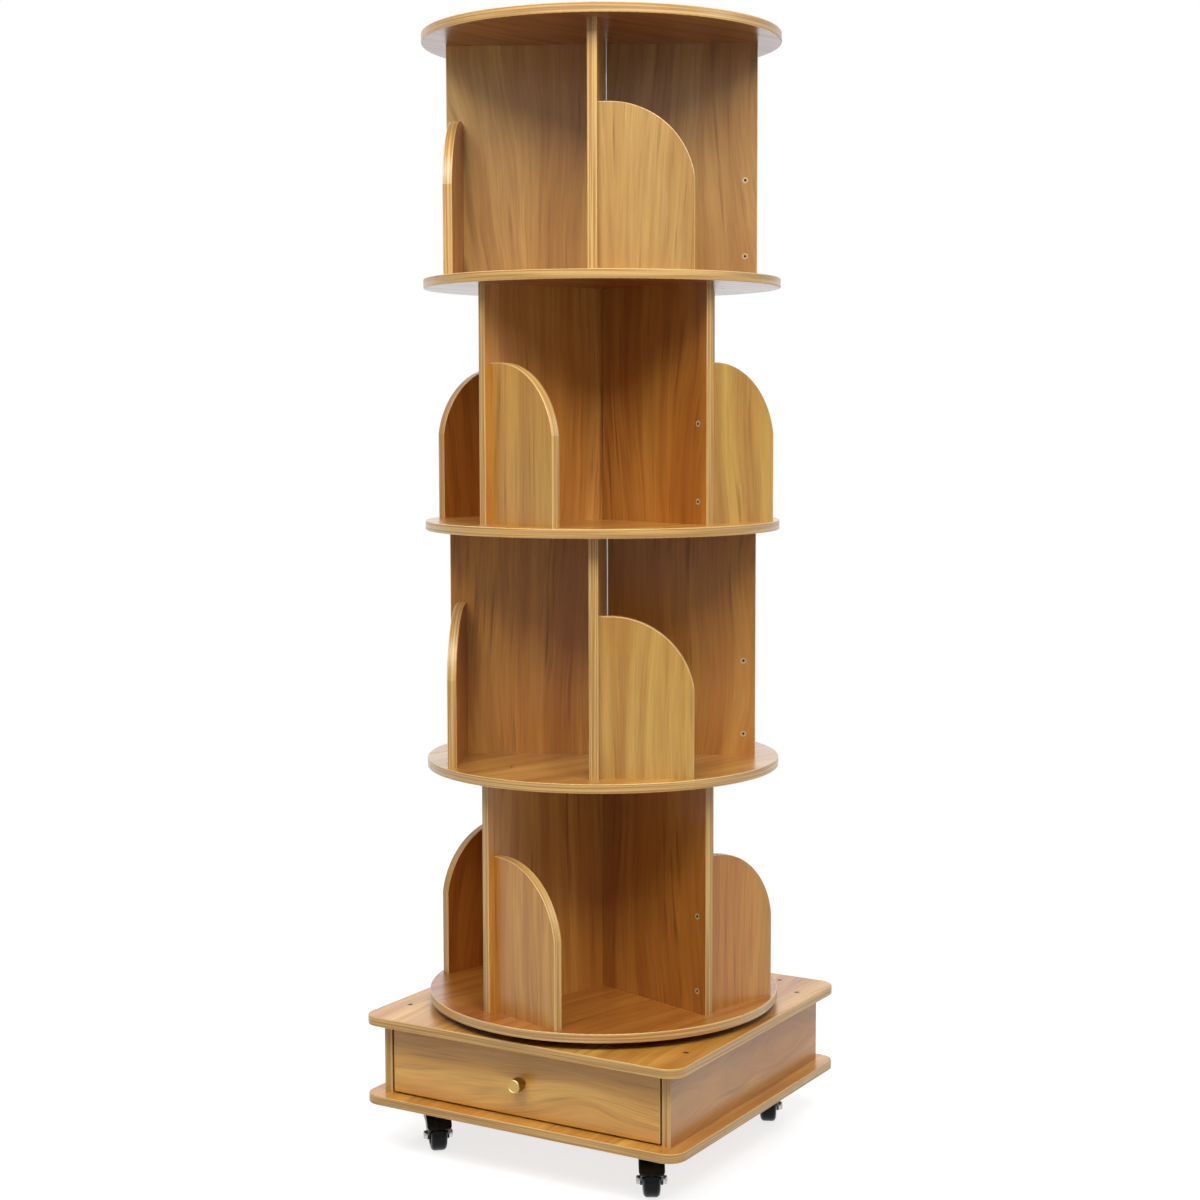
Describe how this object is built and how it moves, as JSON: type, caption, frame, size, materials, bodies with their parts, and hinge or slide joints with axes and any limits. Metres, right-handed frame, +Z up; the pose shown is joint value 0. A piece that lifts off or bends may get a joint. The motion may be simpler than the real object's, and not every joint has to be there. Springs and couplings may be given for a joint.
{
  "type": "revolving bookcase",
  "caption": "Floor-standing revolving bookcase: a tower of round shelves with upright partitions and arched stops turns on a square base with a drawer and swivel casters.",
  "frame": {"origin": "on the floor, under the axis that the tower turns about", "axes": "+Z up, -Y out of the drawer's front, +X to the right when facing the drawer's front from outside"},
  "size_m": [0.468, 0.462, 1.4385],
  "materials": {
    "shelf_laminate": "satin wood-grain laminate",
    "partition_laminate": "satin wood-grain laminate",
    "stop_laminate": "satin wood-grain laminate",
    "base_laminate": "satin wood-grain laminate",
    "box_laminate": "satin wood-grain laminate",
    "drawer_wood": "plain board",
    "beech": "planed hardwood",
    "brass": "satin",
    "countersunk_screw": "bronzed",
    "bright_steel": "zinc plated",
    "zinc_plate": "zinc plated",
    "wheel_plastic": "moulded black",
    "fork_plastic": "black enamel",
    "axle_steel": "bright nickel",
    "caster_plate": "black enamel"
  },
  "bodies": {
    "root": {"base_back_panel": "box_laminate", "base_bottom_board": "base_laminate", "base_left_side": "box_laminate", "base_right_side": "box_laminate", "base_screws": "countersunk_screw", "base_top_board": "base_laminate", "caster_plates": "caster_plate", "drawer_runners": "beech", "mounting_screws": "bright_steel", "turntable_balls": "bright_steel", "turntable_lower_plate": "zinc_plate"},
    "tower": {"shelf_disc_1": "shelf_laminate", "shelf_disc_2": "shelf_laminate", "shelf_disc_3": "shelf_laminate", "shelf_disc_4": "shelf_laminate", "shelf_dowels": "beech", "shelf_screws": "countersunk_screw", "stop_screws": "countersunk_screw", "tier_1_half_partition_b": "partition_laminate", "tier_1_half_partition_d": "partition_laminate", "tier_1_stops": "stop_laminate", "tier_1_wide_partition_ac": "partition_laminate", "tier_2_half_partition_b": "partition_laminate", "tier_2_half_partition_d": "partition_laminate", "tier_2_stops": "stop_laminate", "tier_2_wide_partition_ac": "partition_laminate", "tier_3_half_partition_b": "partition_laminate", "tier_3_half_partition_d": "partition_laminate", "tier_3_stops": "stop_laminate", "tier_3_wide_partition_ac": "partition_laminate", "tier_4_half_partition_b": "partition_laminate", "tier_4_half_partition_d": "partition_laminate", "tier_4_stops": "stop_laminate", "tier_4_wide_partition_ac": "partition_laminate", "top_disc": "shelf_laminate", "turntable_upper_plate": "zinc_plate", "turntable_upper_screws": "bright_steel"},
    "drawer": {"drawer_front": "box_laminate", "drawer_left_side": "drawer_wood", "drawer_right_side": "drawer_wood", "drawer_back": "drawer_wood", "drawer_bottom": "drawer_wood", "drawer_knob": "brass", "knob_screw": "bright_steel"},
    "caster_front_left_swivel": {"caster_front_left_fork": "fork_plastic", "caster_front_left_axle": "axle_steel"},
    "caster_front_left_roll": {"caster_front_left_wheel": "wheel_plastic"},
    "caster_front_right_swivel": {"caster_front_right_fork": "fork_plastic", "caster_front_right_axle": "axle_steel"},
    "caster_front_right_roll": {"caster_front_right_wheel": "wheel_plastic"},
    "caster_rear_left_swivel": {"caster_rear_left_fork": "fork_plastic", "caster_rear_left_axle": "axle_steel"},
    "caster_rear_left_roll": {"caster_rear_left_wheel": "wheel_plastic"},
    "caster_rear_right_swivel": {"caster_rear_right_fork": "fork_plastic", "caster_rear_right_axle": "axle_steel"},
    "caster_rear_right_roll": {"caster_rear_right_wheel": "wheel_plastic"}
  },
  "joints": [
    {"name": "tower_turn", "type": "hinge", "parent": "root", "child": "tower", "pos_m": [0, 0, 0.181], "axis": [0, 0, 1], "continuous": true},
    {"name": "drawer_slide", "type": "slide", "parent": "root", "child": "drawer", "axis": [0, -1, 0], "range_m": [0, 0.27]},
    {"name": "caster_front_left_swivel", "type": "hinge", "parent": "root", "child": "caster_front_left_swivel", "pos_m": [-0.162, -0.1575, 0.05], "axis": [0, 0, 1], "continuous": true},
    {"name": "caster_front_left_roll", "type": "hinge", "parent": "caster_front_left_swivel", "child": "caster_front_left_roll", "pos_m": [-0.15129, -0.16939, 0.021], "axis": [0.7431, 0.6691, 0], "continuous": true},
    {"name": "caster_front_right_swivel", "type": "hinge", "parent": "root", "child": "caster_front_right_swivel", "pos_m": [0.162, -0.1575, 0.05], "axis": [0, 0, 1], "continuous": true},
    {"name": "caster_front_right_roll", "type": "hinge", "parent": "caster_front_right_swivel", "child": "caster_front_right_roll", "pos_m": [0.17024, -0.17122, 0.021], "axis": [0.8572, 0.515, 0], "continuous": true},
    {"name": "caster_rear_left_swivel", "type": "hinge", "parent": "root", "child": "caster_rear_left_swivel", "pos_m": [-0.162, 0.1665, 0.05], "axis": [0, 0, 1], "continuous": true},
    {"name": "caster_rear_left_roll", "type": "hinge", "parent": "caster_rear_left_swivel", "child": "caster_rear_left_roll", "pos_m": [-0.15653, 0.15146, 0.021], "axis": [0.9397, 0.342, 0], "continuous": true},
    {"name": "caster_rear_right_swivel", "type": "hinge", "parent": "root", "child": "caster_rear_right_swivel", "pos_m": [0.162, 0.1665, 0.05], "axis": [0, 0, 1], "continuous": true},
    {"name": "caster_rear_right_roll", "type": "hinge", "parent": "caster_rear_right_swivel", "child": "caster_rear_right_roll", "pos_m": [0.16901, 0.15212, 0.021], "axis": [0.8988, 0.4384, 0], "continuous": true}
  ]
}
